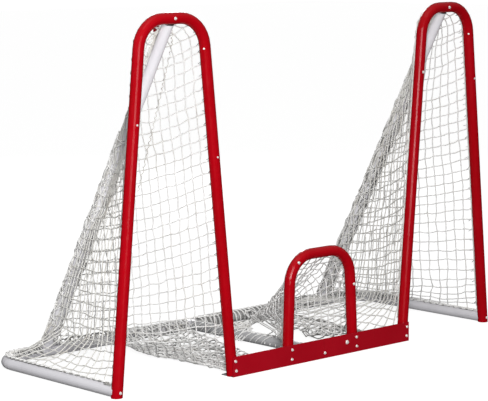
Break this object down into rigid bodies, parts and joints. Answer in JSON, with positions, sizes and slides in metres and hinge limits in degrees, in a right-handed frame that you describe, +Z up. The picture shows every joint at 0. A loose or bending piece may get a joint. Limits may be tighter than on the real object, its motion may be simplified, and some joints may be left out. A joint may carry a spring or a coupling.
{
  "type": "hockey target goal",
  "caption": "Red steel street-hockey goal with two tall corner arches, a small centre arch, a white floor base and white knotted nets.",
  "frame": {"origin": "centre of the goal's footprint on the floor: X midway between the outer feet, Y midway between the front bolt heads and the back of the base tube, Z at the floor", "axes": "+X along the goal line to the right as the shooter sees it, +Y from the mouth to the back of the base, +Z up"},
  "size_m": [1.8288, 0.7312, 1.2192],
  "materials": {
    "red_steel": "gloss",
    "white_steel": "satin",
    "zinc": "satin",
    "black_plastic": "matte",
    "netting": "matte"
  },
  "bodies": {
    "root": {"base_tube": "white_steel", "centre_arch": "red_steel", "centre_leg_screw": "zinc", "centre_net": "netting", "centre_shoulder_screw": "zinc", "centre_stringer": "white_steel", "front_plate": "red_steel", "left_arch": "red_steel", "left_arch_shoulder_screw": "zinc", "left_arch_top_bolt": "zinc", "left_centre_plate_bolt_lower": "zinc", "left_centre_plate_bolt_upper": "zinc", "left_floor_net": "netting", "left_foot_bolt": "zinc", "left_inner_leg_screw": "zinc", "left_inner_net": "netting", "left_leg_plate_bolt_lower": "zinc", "left_leg_plate_bolt_upper": "zinc", "left_net_hook": "red_steel", "left_outer_leg_screw": "zinc", "left_outer_net": "netting", "left_side_plug": "black_plastic", "left_skirt_net": "netting", "left_strut": "white_steel", "left_strut_saddle": "black_plastic", "plate_button": "zinc", "right_arch": "red_steel", "right_arch_shoulder_screw": "zinc", "right_arch_top_bolt": "zinc", "right_centre_plate_bolt_lower": "zinc", "right_centre_plate_bolt_upper": "zinc", "right_floor_net": "netting", "right_foot_bolt": "zinc", "right_inner_leg_screw": "zinc", "right_inner_net": "netting", "right_leg_plate_bolt_lower": "zinc", "right_leg_plate_bolt_upper": "zinc", "right_net_hook": "red_steel", "right_outer_leg_screw": "zinc", "right_outer_net": "netting", "right_side_plug": "black_plastic", "right_skirt_net": "netting", "right_strut": "white_steel", "right_strut_saddle": "black_plastic", "stringer_bolt": "zinc", "stringer_plug": "black_plastic"}
  },
  "joints": []
}
